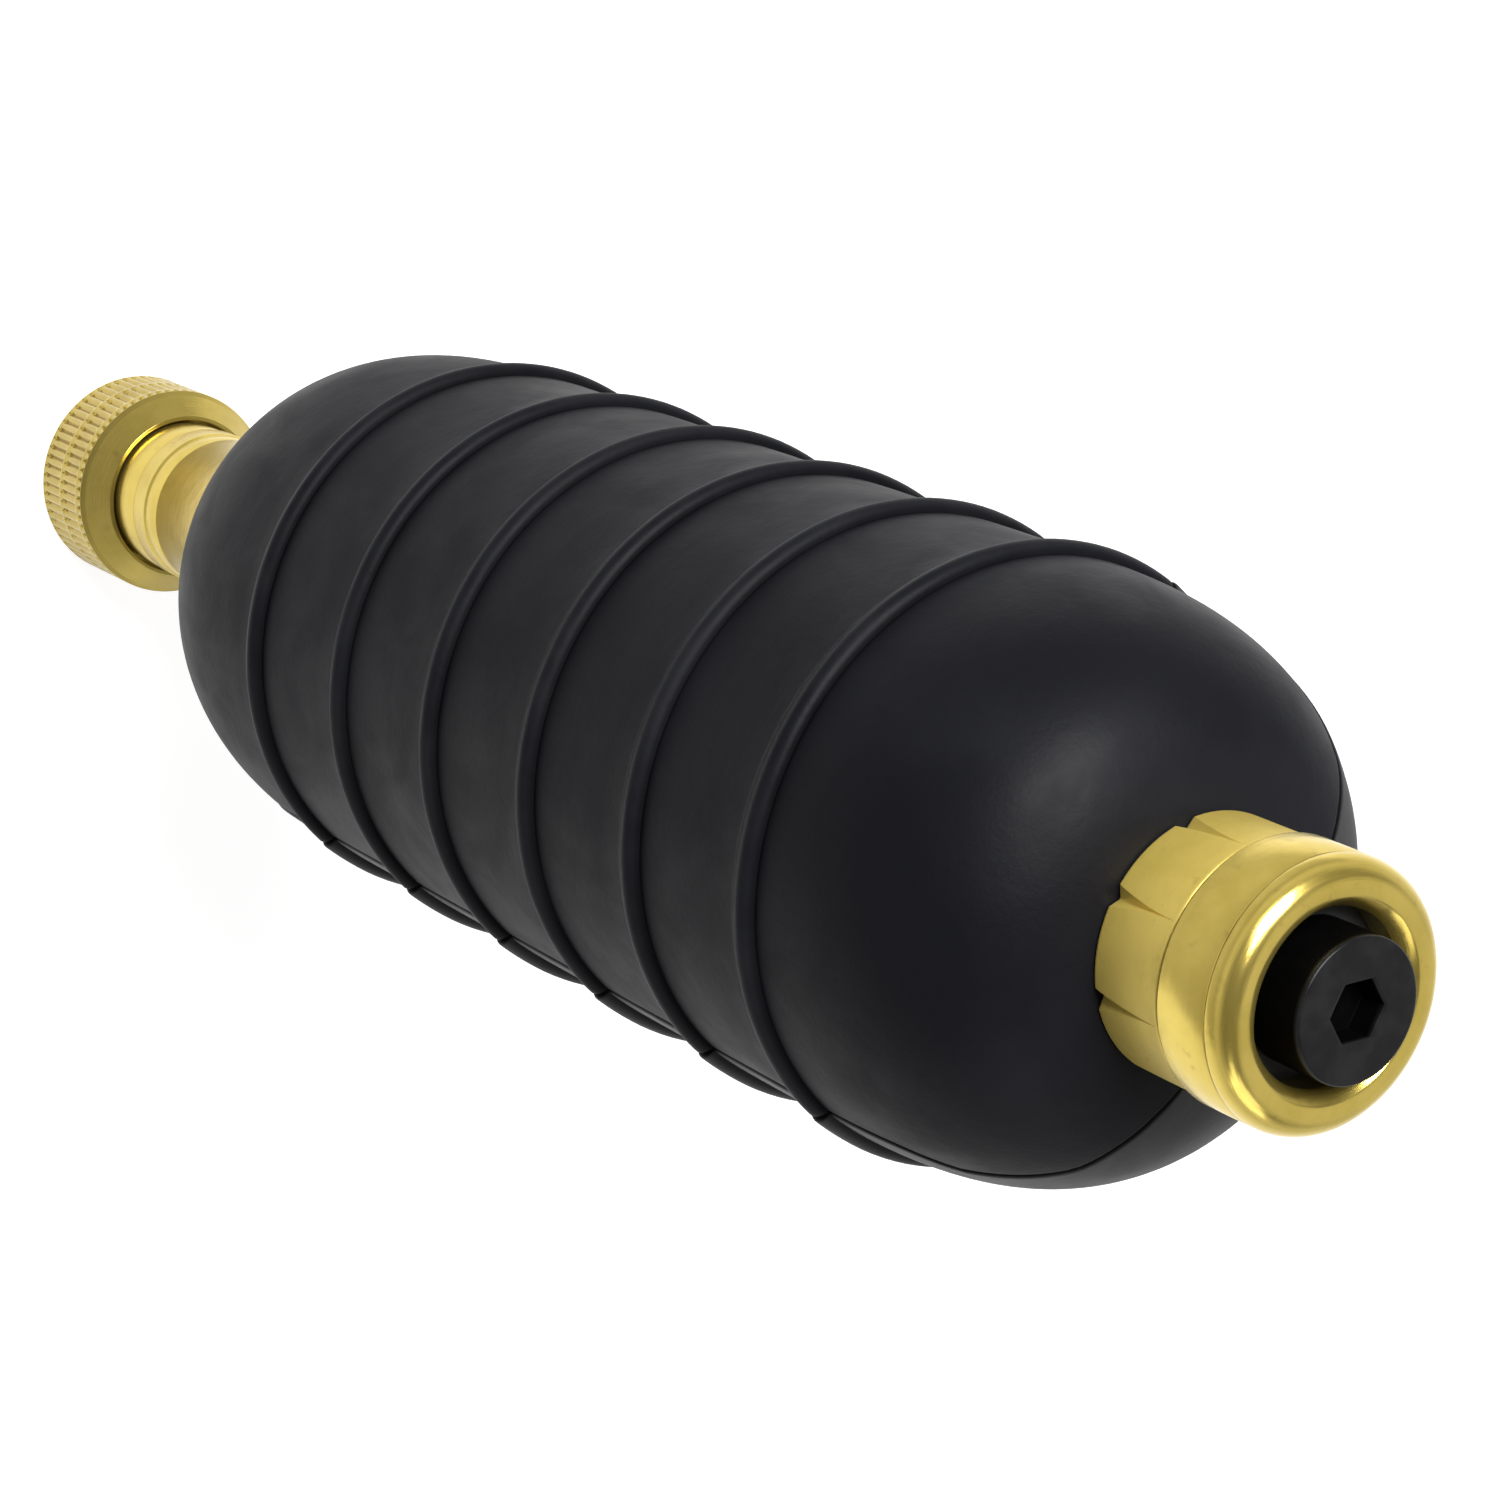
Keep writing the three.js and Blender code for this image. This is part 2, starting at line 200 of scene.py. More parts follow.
def shell(
    name, rows, closed=True, first_pole=None, last_pole=None, capped=False, sharp=38, marks=None
):
    """A mesh object of rings of points in mm. closed joins the last ring to the first."""
    columns = len(rows[0])
    verts = np.concatenate(rows) * MM
    count = len(rows)
    faces = []
    for i in range(count if closed else count - 1):
        a, b = i * columns, (i + 1) % count * columns
        for j in range(columns):
            k = (j + 1) % columns
            faces.append((a + j, a + k, b + k, b + j))
    for pole, ring in ((first_pole, 0), (last_pole, count - 1)):
        if pole is not None:
            tip = len(verts)
            verts = np.vstack([verts, np.array([[0, 0, pole * MM]])])
            start = ring * columns
            faces.extend((start + j, start + (j + 1) % columns, tip) for j in range(columns))
    if capped:
        last = (count - 1) * columns
        faces += [tuple(range(columns)), tuple(range(last, last + columns))]
    mesh = bpy.data.meshes.new(name)
    mesh.from_pydata(verts.tolist(), [], faces)
    work = bmesh.new()
    work.from_mesh(mesh)
    bmesh.ops.recalc_face_normals(work, faces=work.faces)
    work.to_mesh(mesh)
    work.free()
    for label, values in (marks or {}).items():
        layer = mesh.attributes.new(label, "FLOAT", "POINT")
        layer.data.foreach_set("value", np.asarray(values, np.float32))
    finish_mesh(mesh, sharp)
    made = bpy.data.objects.new(name, mesh)
    bpy.context.scene.collection.objects.link(made)
    return made


def finish_mesh(mesh, sharp):
    mesh.polygons.foreach_set("use_smooth", [True] * len(mesh.polygons))
    mesh.set_sharp_from_angle(angle=math.radians(sharp))


def turned(name, outline, columns=144, **options):
    angles = even_turn(columns)
    return shell(name, [round_row(r, z, angles) for r, z in outline], **options)


# Node trees written as formulas
class Field:
    """A number in a node tree, so that formulas can be written as sums."""

    def __init__(self, tree, socket):
        self.tree = tree
        self.socket = socket

    def math(self, operation, *others, clamp=False):
        node = self.tree.nodes.new("ShaderNodeMath")
        node.operation = operation
        node.use_clamp = clamp
        for slot_index, value in enumerate((self, *others)):
            if isinstance(value, Field):
                self.tree.links.new(value.socket, node.inputs[slot_index])
            else:
                node.inputs[slot_index].default_value = value
        return Field(self.tree, node.outputs[0])

    def __add__(self, other):
        return self.math("ADD", other)

    def __sub__(self, other):
        return self.math("SUBTRACT", other)

    def __mul__(self, other):
        return self.math("MULTIPLY", other)

    def __truediv__(self, other):
        return self.math("DIVIDE", other)

    def times_minus(self, other):
        """Minus the product, for formulas such as 1 - a * b."""
        return self.math("MULTIPLY", other).math("MULTIPLY", -1.0)

    def clamped(self):
        return self.math("ADD", 0.0, clamp=True)


def form_tree(name, inputs):
    """A geometry tree with a geometry input, the named inputs and a material input."""
    tree = bpy.data.node_groups.new(name, "GeometryNodeTree")
    tree.interface.new_socket("Geometry", in_out="INPUT", socket_type="NodeSocketGeometry")
    for label, kind in inputs:
        tree.interface.new_socket(label, in_out="INPUT", socket_type="NodeSocket" + kind)
    tree.interface.new_socket("Finish", in_out="INPUT", socket_type="NodeSocketMaterial")
    tree.interface.new_socket("Geometry", in_out="OUTPUT", socket_type="NodeSocketGeometry")
    entry = tree.nodes.new("NodeGroupInput")
    position = tree.nodes.new("GeometryNodeInputPosition")
    parts = tree.nodes.new("ShaderNodeSeparateXYZ")
    tree.links.new(position.outputs[0], parts.inputs[0])
    x, y, z = (Field(tree, parts.outputs[axis]) for axis in range(3))
    radius = (x * x + y * y).math("SQRT")
    angle = y.math("ARCTAN2", x)
    asked = {label: Field(tree, entry.outputs[label]) for label, _ in inputs}
    return tree, entry, (x, y, z, radius, angle), asked


def end_tree(tree, entry, place, move):
    """Moves each point outwards by the field and closes the tree."""
    x, y, _, radius, _ = place
    push = tree.nodes.new("ShaderNodeCombineXYZ")
    tree.links.new((x / radius * move).socket, push.inputs[0])
    tree.links.new((y / radius * move).socket, push.inputs[1])
    shift = tree.nodes.new("GeometryNodeSetPosition")
    tree.links.new(entry.outputs["Geometry"], shift.inputs["Geometry"])
    tree.links.new(push.outputs[0], shift.inputs["Offset"])
    real = tree.nodes.new("GeometryNodeRealizeInstances")
    tree.links.new(shift.outputs[0], real.inputs[0])
    finish = tree.nodes.new("GeometryNodeSetMaterial")
    tree.links.new(real.outputs[0], finish.inputs["Geometry"])
    tree.links.new(entry.outputs["Finish"], finish.inputs["Material"])
    leave = tree.nodes.new("NodeGroupOutput")
    tree.links.new(finish.outputs[0], leave.inputs[0])


def apply_tree(piece, tree, values, finish, sharp=38):
    """Runs a tree on a piece with its inputs set and keeps the result as a plain mesh."""
    modifier = piece.modifiers.new(tree.name, "NODES")
    modifier.node_group = tree
    for item in tree.interface.items_tree:
        if item.in_out == "INPUT" and item.name in values:
            modifier[item.identifier] = values[item.name]
        elif item.in_out == "INPUT" and item.name == "Finish":
            modifier[item.identifier] = finish
    ready = piece.evaluated_get(bpy.context.evaluated_depsgraph_get())
    result = bpy.data.meshes.new_from_object(ready)
    piece.modifiers.clear()
    piece.data = result
    finish_mesh(result, sharp)


def rib_tree():
    inputs = [("Rib Count", "Int"), ("First Rib", "Float"), ("Pitch", "Float")]
    inputs += [("Height", "Float"), ("Soft Width", "Float"), ("Crisp Width", "Float")]
    tree, entry, place, ask = form_tree("Bladder ribs", inputs)
    z = place[2]
    number = ((z - ask["First Rib"]) / ask["Pitch"]).math("ROUND")
    number = number.math("MAXIMUM", 0.0).math("MINIMUM", ask["Rib Count"] - 1.0)
    past = z - ask["First Rib"] - number * ask["Pitch"]
    soft = (past / ask["Soft Width"] + 1.0).clamped()
    soft = (soft * math.pi).math("COSINE").times_minus(0.5) + 0.5
    crisp = (past / ask["Crisp Width"]).clamped()
    crisp = ((crisp * crisp).times_minus(1.0) + 1.0).math("MAXIMUM", 0.0).math("SQRT")
    is_past = past.math("GREATER_THAN", 0.0)
    rise = soft + is_past * (crisp - soft)
    skin = tree.nodes.new("GeometryNodeInputNamedAttribute")
    skin.data_type = "FLOAT"
    skin.inputs["Name"].default_value = "skin"
    move = ask["Height"] * rise * Field(tree, skin.outputs[0])
    end_tree(tree, entry, place, move)
    return tree


def window(z, low, high, ramp):
    """1 between two heights, falling to 0 over the ramp inside them."""
    return ((z - low) / ramp).clamped() * ((z.times_minus(1.0) + high) / ramp).clamped()


def knurl_tree(row_count):
    inputs = [("Teeth", "Int"), ("Depth", "Float"), ("Inner Limit", "Float"), ("Ramp", "Float")]
    for index in range(row_count):
        inputs += [(f"Row {index + 1} Low", "Float"), (f"Row {index + 1} High", "Float")]
    tree, entry, place, ask = form_tree("Knurl", inputs)
    _, _, z, radius, angle = place
    share = (angle * ask["Teeth"] / TURN).math("FRACT")
    valley = ((share * 2.0 - 1.0).math("ABSOLUTE").times_minus(1.0) + 1.0 - 0.2) / 0.8
    mask = None
    for index in range(row_count):
        row = window(z, ask[f"Row {index + 1} Low"], ask[f"Row {index + 1} High"], ask["Ramp"])
        mask = row if mask is None else mask.math("MAXIMUM", row)
    outside = radius.math("GREATER_THAN", ask["Inner Limit"])
    move = valley.clamped() * mask * outside * ask["Depth"]
    end_tree(tree, entry, place, move * -1.0)
    return tree


def thread_tree():
    inputs = [("Pitch", "Float"), ("Depth", "Float"), ("Outer Limit", "Float")]
    inputs += [("Low", "Float"), ("High", "Float")]
    tree, entry, place, ask = form_tree("Hose thread", inputs)
    _, _, z, radius, angle = place
    share = (z / ask["Pitch"] - angle / TURN).math("FRACT")
    ridge = ((share * 2.0 - 1.0).math("ABSOLUTE").times_minus(1.0) + 1.0 - 0.3) / 0.45
    inside = radius.math("LESS_THAN", ask["Outer Limit"])
    fade = window(z, ask["Low"], ask["High"], 0.9 * MM)
    end_tree(tree, entry, place, ridge.clamped() * fade * inside * ask["Depth"] * -1.0)
    return tree


# Materials
def link_or_set(tree, socket, value):
    if isinstance(value, Field):
        tree.links.new(value.socket, socket)
    elif isinstance(value, bpy.types.NodeSocket):
        tree.links.new(value, socket)
    elif isinstance(value, tuple) and len(value) == 3 and socket.type == "RGBA":
        socket.default_value = (*value, 1)
    else:
        socket.default_value = value


class Finish:
    """A material under construction, with short calls for the nodes used most."""

    def __init__(self, name):
        self.material = bpy.data.materials.new(name)
        self.material.use_nodes = True
        self.tree = self.material.node_tree
        self.shader = self.tree.nodes["Principled BSDF"]
        coordinates = self.tree.nodes.new("ShaderNodeTexCoord")
        self.object = coordinates.outputs["Object"]
        parts = self.tree.nodes.new("ShaderNodeSeparateXYZ")
        self.tree.links.new(self.object, parts.inputs[0])
        self.x, self.y, self.z = (Field(self.tree, parts.outputs[i]) for i in range(3))
        self.radius = (self.x * self.x + self.y * self.y).math("SQRT")

    def noise(self, scale, detail=3.0, roughness=0.5, vector=None, distortion=0.0):
        node = self.tree.nodes.new("ShaderNodeTexNoise")
        self.tree.links.new(vector or self.object, node.inputs["Vector"])
        node.inputs["Scale"].default_value = scale
        node.inputs["Detail"].default_value = detail
        node.inputs["Roughness"].default_value = roughness
        node.inputs["Distortion"].default_value = distortion
        return Field(self.tree, node.outputs["Fac"])

    def vector(self, x, y, z):
        node = self.tree.nodes.new("ShaderNodeCombineXYZ")
        for socket, value in zip(node.inputs, (x, y, z)):
            link_or_set(self.tree, socket, value)
        return node.outputs[0]

    def ramp(self, value, low, high):
        """0 at low and 1 at high, smooth between them."""
        node = self.tree.nodes.new("ShaderNodeMapRange")
        node.interpolation_type = "SMOOTHSTEP"
        link_or_set(self.tree, node.inputs["Value"], value)
        node.inputs["From Min"].default_value = low
        node.inputs["From Max"].default_value = high
        return Field(self.tree, node.outputs["Result"])

    def mix(self, share, first, second):
        node = self.tree.nodes.new("ShaderNodeMix")
        node.data_type = "RGBA"
        link_or_set(self.tree, node.inputs[0], share)
        link_or_set(self.tree, node.inputs[6], first)
        link_or_set(self.tree, node.inputs[7], second)
        return node.outputs[2]

    def mark(self, name):
        node = self.tree.nodes.new("ShaderNodeAttribute")
        node.attribute_name = name
        return Field(self.tree, node.outputs["Fac"])

    def bump(self, height, strength, distance, after=None):
        node = self.tree.nodes.new("ShaderNodeBump")
        link_or_set(self.tree, node.inputs["Height"], height)
        node.inputs["Strength"].default_value = strength
        node.inputs["Distance"].default_value = distance
        if after is not None:
            self.tree.links.new(after, node.inputs["Normal"])
        return node.outputs[0]

    def set(self, **values):
        for name, value in values.items():
            link_or_set(self.tree, self.shader.inputs[name.replace("_", " ")], value)
        return self.material

    def lathe(self, scale):
        """Noise drawn out round the axis, as a lathe tool leaves it."""
        angle = self.y.math("ARCTAN2", self.x) * 0.0006
        return self.noise(scale, 2.0, 0.6, self.vector(self.radius, angle, self.z))


RUBBER_DARK = (0.0035, 0.0036, 0.0052)
RUBBER_PALE = (0.0062, 0.0064, 0.0086)
# Lighter grey painted on the lap below the seam, as a reflection of a pale surface beneath
LAP_REFLECTION_GREY = (0.024, 0.024, 0.025)
CREST_GREY = (0.016, 0.016, 0.018)
# Near black painted into the seam groove and the rib-foot creases, as shade
GROOVE_SHADE_BLACK = (0.0015, 0.0015, 0.0015)
BRASS_CLEAN = (0.70, 0.535, 0.125)
BRASS_AGED = (0.59, 0.445, 0.09)
BRASS_TARNISH = (0.36, 0.25, 0.06)
BRASS_IN_GROOVES = (0.36, 0.25, 0.05)


def bladder_rubber():
    made = Finish("Bladder rubber")
    cloud = made.noise(34.0, 4.0, 0.55)
    patch = made.noise(90.0, 3.0, 0.6, distortion=0.4)
    grain = made.noise(2600.0, 3.0, 0.6)
    pores = made.noise(900.0, 2.0, 0.5)
    seam = made.mark("seam")
    lap = made.ramp(seam, -0.1, 0.5)
    # Painted shade: the seam's cut line is painted near black along its groove
    line = made.ramp(seam.math("ABSOLUTE"), 0.5, 0.12)
    number = ((made.z - FIRST_RIB_Z * MM) / (RIB_PITCH * MM)).math("ROUND")
    number = number.math("MAXIMUM", 0.0).math("MINIMUM", RIB_COUNT - 1.0)
    past = made.z - FIRST_RIB_Z * MM - number * (RIB_PITCH * MM)
    # Painted shade: a dark line painted in the crease at the crisp foot of each rib
    rib_foot_shade = made.ramp((past - (RIB_CRISP_WIDTH + 0.1) * MM).math("ABSOLUTE"), 0.5 * MM, 0.1 * MM)
    top = made.ramp((past - 0.2 * MM).math("ABSOLUTE"), 1.6 * MM, 0.6 * MM)
    on_side = made.ramp(made.radius, 30 * MM, 33 * MM)
    rubber = made.mix(made.ramp(cloud, 0.35, 0.7), RUBBER_DARK, RUBBER_PALE)
    # Painted reflection: the lap below the seam is turned a lighter grey
    rubber = made.mix(lap * 0.85, rubber, LAP_REFLECTION_GREY)
    worn = top * on_side * made.ramp(patch, 0.3, 0.75) * 0.4
    rubber = made.mix(worn, rubber, CREST_GREY)
    # Both painted shades darken the rubber towards near black and dim its gloss
    painted_groove_shade = line.math("MAXIMUM", rib_foot_shade * on_side * 0.5)
    rubber = made.mix(painted_groove_shade * 0.9, rubber, GROOVE_SHADE_BLACK)
    rough = made.ramp(patch, 0.3, 0.75) * 0.1 + made.ramp(cloud, 0.35, 0.7) * 0.06 + 0.46
    rough = rough + lap * 0.04
    coarse = made.bump(pores, 0.25, 0.00012)
    fine = made.bump(grain, 0.3, 0.00006, coarse)
    wide = made.bump(made.noise(55.0, 2.0, 0.5), 0.35, 0.0009, fine)
    gloss = (painted_groove_shade * -0.75 + 1.0) * (lap * 0.16 + 0.09)
    return made.set(
        Base_Color=rubber, Roughness=rough, Normal=wide, IOR=1.5, Specular_IOR_Level=gloss
    )


def brass(name, level=1.0, metal_share=0.85, matt=0.0, recess=False):
    """level darkens the metal, metal_share below 1 gives it a dull body, matt roughens it."""
    made = Finish(name)
    cloud = made.noise(120.0, 4.0, 0.6)
    stain = made.noise(420.0, 3.0, 0.65)
    fine = made.lathe(5200.0)
    broad = made.lathe(900.0)
    tones = (BRASS_CLEAN, BRASS_AGED, BRASS_TARNISH)
    clean, aged, tarnish = (tuple(level * part for part in tone) for tone in tones)
    metal = made.mix(made.ramp(cloud, 0.35, 0.75), clean, aged)
    metal = made.mix(made.ramp(stain, 0.6, 0.78) * 0.4, metal, tarnish)
    if recess:
        deep = made.ramp(made.radius, (NUT_RADIUS - 0.03) * MM, (NUT_RADIUS - 0.4) * MM)
        below_slope = made.ramp(made.z, 14.3 * MM, 14.0 * MM)
        outside = made.ramp(made.radius, 14.6 * MM, 14.9 * MM)
        metal = made.mix(deep * below_slope * outside * 0.55, metal, BRASS_IN_GROOVES)
    rough = made.ramp(cloud, 0.3, 0.8) * 0.08 + fine * 0.1 + (0.13 + matt)
    lines = made.bump(fine, 0.35, 0.00003)
    shape = made.bump(broad, 0.12, 0.00008, lines)
    dents = made.bump(made.noise(260.0, 2.0, 0.5), 0.15, 0.0002, shape)
    return made.set(Base_Color=metal, Metallic=metal_share, Roughness=rough, Normal=dents)


def black_plastic():
    made = Finish("Black plastic")
    cloud = made.noise(300.0, 3.0, 0.6)
    lines = made.lathe(4200.0)
    body = made.mix(made.ramp(cloud, 0.35, 0.7), (0.004, 0.004, 0.0045), (0.008, 0.008, 0.0085))
    # Painted shade: below its face the plug is painted near black and loses its gloss, in the hex
    # socket and down its side
    recess = made.ramp(made.z, (PLUG_FACE_Z - 0.2) * MM, (PLUG_FACE_Z - 0.9) * MM)
    body = made.mix(recess * 0.9, body, (0.0008, 0.0008, 0.0008))
    gloss = (recess * -0.9 + 1.0) * 0.16
    rough = made.ramp(cloud, 0.3, 0.8) * 0.1 + 0.3
    normal = made.bump(lines, 0.2, 0.00003)
    return made.set(Base_Color=body, Roughness=rough, Normal=normal, Specular_IOR_Level=gloss)


def seal_rubber():
    made = Finish("Seal rubber")
    cloud = made.noise(380.0, 3.0, 0.6)
    body = made.mix(made.ramp(cloud, 0.35, 0.7), (0.006, 0.006, 0.006), (0.013, 0.013, 0.013))
    rough = made.ramp(cloud, 0.3, 0.8) * 0.14 + 0.6
    normal = made.bump(made.noise(2200.0), 0.3, 0.00006)
    return made.set(Base_Color=body, Roughness=rough, Normal=normal)


def steel():
    made = Finish("Spring steel")
    cloud = made.noise(400.0, 3.0, 0.6)
    body = made.mix(made.ramp(cloud, 0.35, 0.7), (0.5, 0.5, 0.51), (0.38, 0.38, 0.4))
    rough = made.ramp(cloud, 0.3, 0.8) * 0.12 + 0.26
    normal = made.bump(made.lathe(3000.0), 0.2, 0.00003)
    return made.set(Base_Color=body, Metallic=1.0, Roughness=rough, Normal=normal)


RUBBER = bladder_rubber()
BRASS = brass("Turned brass", level=0.94, metal_share=0.9)
KNURLED = brass("Knurled brass", level=0.6, recess=True)
TAIL_BRASS = brass("Tail piece brass", level=0.8)
RING_BRASS = brass("Ring nut brass", metal_share=0.55, matt=0.18)
PLASTIC = black_plastic()
SEAL = seal_rubber()
STEEL = steel()


# Bladder
def dome_reach(share, bluntness):
    return (1 - share**bluntness) ** (1 / bluntness)


def dome_points(radius, seat_radius, shoulder_z, seat_z, bluntness, steps):
    """Radius and height from just past the shoulder to the seat, evenly along the curve."""
    reach = dome_reach(seat_radius / radius, bluntness)
    length = (seat_z - shoulder_z) / reach
    curve = []
    for share in np.linspace(0, 1, 400):
        angle = share * math.pi / 2
        r = radius * math.cos(angle) ** (2 / bluntness)
        z = shoulder_z + length * math.sin(angle) ** (2 / bluntness)
        if r < seat_radius:
            break
        curve.append((r, z))
    curve.append((seat_radius, seat_z))
    curve = np.array(curve)
    along = np.concatenate([[0], np.cumsum(np.linalg.norm(np.diff(curve, axis=0), axis=1))])
    wanted = np.linspace(0, along[-1], steps + 1)[1:]
    radii = np.interp(wanted, along, curve[:, 0])
    heights = np.interp(wanted, along, curve[:, 1])
    return list(np.stack([radii, heights], axis=1))


# Half the angle that the lap takes up between its two seams, at each radius of the rubber
SEAM_RADII = (11.4, 16, 20, 24, 28, 31, 33.2, 34.4, 35.3, 37)
SEAM_ANGLES = (35, 54.2, 61.5, 67, 71, 77.5, 82.5, 90, 94, 95)
LAP_MIDDLE = math.radians(-41.9)


# Shares of a half arc from its seam to its middle, closer together near the seam
NEAR_SEAM_SHARES = [0, 0.0022, 0.0045, 0.0072, 0.0105, 0.0155, 0.024, 0.037, 0.057, 0.083]
ARC_SHARES = np.array(NEAR_SEAM_SHARES + list(np.linspace(0.11, 1, 33)))


def seam_columns(radius):
    """The angle of each column and its distance from the nearer seam, positive on the lap."""
    half = math.radians(np.interp(radius, SEAM_RADII, SEAM_ANGLES))
    other = math.pi - half
    shares = ARC_SHARES
    lap_up = LAP_MIDDLE - half + half * shares
    lap_down = LAP_MIDDLE + half - half * shares[:-1][::-1]
    main_up = LAP_MIDDLE + half + other * shares[1:]
    main_down = LAP_MIDDLE - half + TURN - other * shares[1:-1][::-1]
    angles = np.concatenate([lap_up, lap_down, main_up, main_down])
    lap_way = radius * half
    main_way = radius * other
    gaps = np.concatenate(
        [
            lap_way * shares,
            lap_way * shares[:-1][::-1],
            -main_way * shares[1:],
            -main_way * shares[1:-1][::-1],
        ]
    )
    return angles, gaps


def seam_height(gap):
    """How far the rubber stands in at a distance from the seam: a cut line beside a low lap."""
    line = 0.42 * np.exp(-((gap / 0.28) ** 2))
    lap = SKIN_SETBACK * (1 - np.clip(gap / 7, 0, 1)) ** 2 * (gap > 0)
    return line - lap


def rib_heights():
    heights = []
    for rib in range(RIB_COUNT):
        crest = FIRST_RIB_Z + rib * RIB_PITCH
        heights.extend(crest - RIB_SOFT_WIDTH * (1 - s) for s in np.linspace(0, 1, 9))
        for share in (0.18, 0.36, 0.54, 0.7, 0.82, 0.91, 0.97, 1.0):
            heights.append(crest + RIB_CRISP_WIDTH * share)
        heights.append(crest + RIB_CRISP_WIDTH + 0.25)
        if rib < RIB_COUNT - 1:
            start, stop = crest + RIB_CRISP_WIDTH + 0.25, crest + RIB_PITCH - RIB_SOFT_WIDTH
            heights.extend(np.linspace(start, stop, 6)[1:-1])
    return heights


def make_bladder():
    rear = dome_points(BODY_RADIUS, SEAT_RADIUS, REAR_SHOULDER_Z, REAR_SEAT_Z, REAR_BLUNTNESS, 30)
    front = dome_points(
        BODY_RADIUS, SEAT_RADIUS, FRONT_SHOULDER_Z, FRONT_SEAT_Z, FRONT_BLUNTNESS, 40
    )
    front_z = [p[1] for p in front]
    front_r = [p[0] for p in front]
    outline = [(NECK_HOLE_RADIUS, REAR_SEAT_Z), (FACE_STEP_RADIUS, REAR_SEAT_Z)]
    outline += [tuple(p) for p in reversed(rear)]
    outline += [(BODY_RADIUS, REAR_SHOULDER_Z)]
    for z in rib_heights():
        radius = BODY_RADIUS if z < FRONT_SHOULDER_Z else float(np.interp(z, front_z, front_r))
        outline.append((radius, z))
    past = outline[-1][1]
    outline += [tuple(p) for p in front if p[1] > past + 0.4]
    outline += [(FACE_STEP_RADIUS, FRONT_SEAT_Z), (NECK_HOLE_RADIUS, FRONT_SEAT_Z)]
    skin_rows = len(outline)
    inner_radius = BODY_RADIUS - BODY_WALL
    inner_front = dome_points(
        inner_radius,
        INNER_SEAT_RADIUS,
        FRONT_SHOULDER_Z,
        FRONT_SEAT_Z - NECK_WALL,
        FRONT_BLUNTNESS,
        14,
    )
    inner_rear = dome_points(
        inner_radius,
        INNER_SEAT_RADIUS,
        REAR_SHOULDER_Z,
        REAR_SEAT_Z + NECK_WALL,
        REAR_BLUNTNESS,
        14,
    )
    outline += [(NECK_HOLE_RADIUS, FRONT_SEAT_Z - NECK_WALL)]
    outline += [tuple(p) for p in reversed(inner_front)]
    outline += [(inner_radius, z) for z in (FRONT_SHOULDER_Z, 180, 142, REAR_SHOULDER_Z)]
    outline += [tuple(p) for p in inner_rear]
    outline += [(NECK_HOLE_RADIUS, REAR_SEAT_Z + NECK_WALL)]
    rows, seams, skins = [], [], []
    for index, (radius, z) in enumerate(outline):
        angles, gaps = seam_columns(radius)
        outer = 1 if index < skin_rows else 0
        free = outer * float(np.clip((radius - SEAT_RADIUS) / 3, 0, 1))
        rows.append(round_row(radius - free * (seam_height(gaps) + SKIN_SETBACK), z, angles))
        seams.append(gaps if outer else gaps * 0 - 99)
        skins.append(gaps * 0 + outer * (1 if radius > 30 else 0))
    marks = {"seam": np.concatenate(seams), "skin": np.concatenate(skins)}
    made = shell("bladder_skin", rows, sharp=50, marks=marks)
    values = {
        "Rib Count": RIB_COUNT,
        "First Rib": FIRST_RIB_Z * MM,
        "Pitch": RIB_PITCH * MM,
        "Height": (RIB_HEIGHT + SKIN_SETBACK) * MM,
        "Soft Width": RIB_SOFT_WIDTH * MM,
        "Crisp Width": RIB_CRISP_WIDTH * MM,
    }
    apply_tree(made, rib_tree(), values, RUBBER, sharp=50)
    return made


# Brass
def make_coupling_nut():
    outline = soften(
        [
            (NUT_THREAD_RADIUS + NUT_CHAMFER, 0, 0.08),
            (NUT_RADIUS - NUT_CHAMFER, 0, 0.12),
            (NUT_RADIUS, NUT_CHAMFER, 0.15),
            (NUT_RADIUS, NUT_KNURL_LENGTH - NUT_CHAMFER, 0.12),
            (NUT_RADIUS - NUT_CHAMFER, NUT_KNURL_LENGTH, 0.15),
            (NUT_SLOPE_TOP_RADIUS, NUT_LENGTH, 0.15),
            (NUT_LIP_RADIUS, NUT_LENGTH, 0.15),
            (NUT_LIP_RADIUS, NUT_THREAD_DEPTH),
            (NUT_THREAD_RADIUS, NUT_THREAD_DEPTH),
            (NUT_THREAD_RADIUS, NUT_CHAMFER, 0.08),
        ],
        steps=3,
        hold=0.08,
    )
    thread_end = 7.4

    def cut_later(point):
        on_knurl = point[0] > NUT_RADIUS - 0.05
        on_thread = point[0] < NUT_THREAD_RADIUS + 0.05 and point[1] < thread_end
        return on_knurl or on_thread

    outline = dense(outline, 0.24, cut_later)
    made = turned("coupling_nut_brass", outline, columns=KNURL_COUNT * 6)
    values = {
        "Teeth": KNURL_COUNT,
        "Depth": KNURL_DEPTH * MM,
        "Inner Limit": (NUT_RADIUS - 0.25) * MM,
        "Ramp": 0.32 * MM,
    }
    for index, (low, high) in enumerate(KNURL_ROWS):
        values[f"Row {index + 1} Low"] = low * MM
        values[f"Row {index + 1} High"] = high * MM
    apply_tree(made, knurl_tree(len(KNURL_ROWS)), values, KNURLED)
    thread = {
        "Pitch": THREAD_PITCH * MM,
        "Depth": THREAD_DEPTH * MM,
        "Outer Limit": (NUT_THREAD_RADIUS + 0.2) * MM,
        "Low": 0.7 * MM,
        "High": 7.0 * MM,
    }
    apply_tree(made, thread_tree(), thread, KNURLED)
    return made


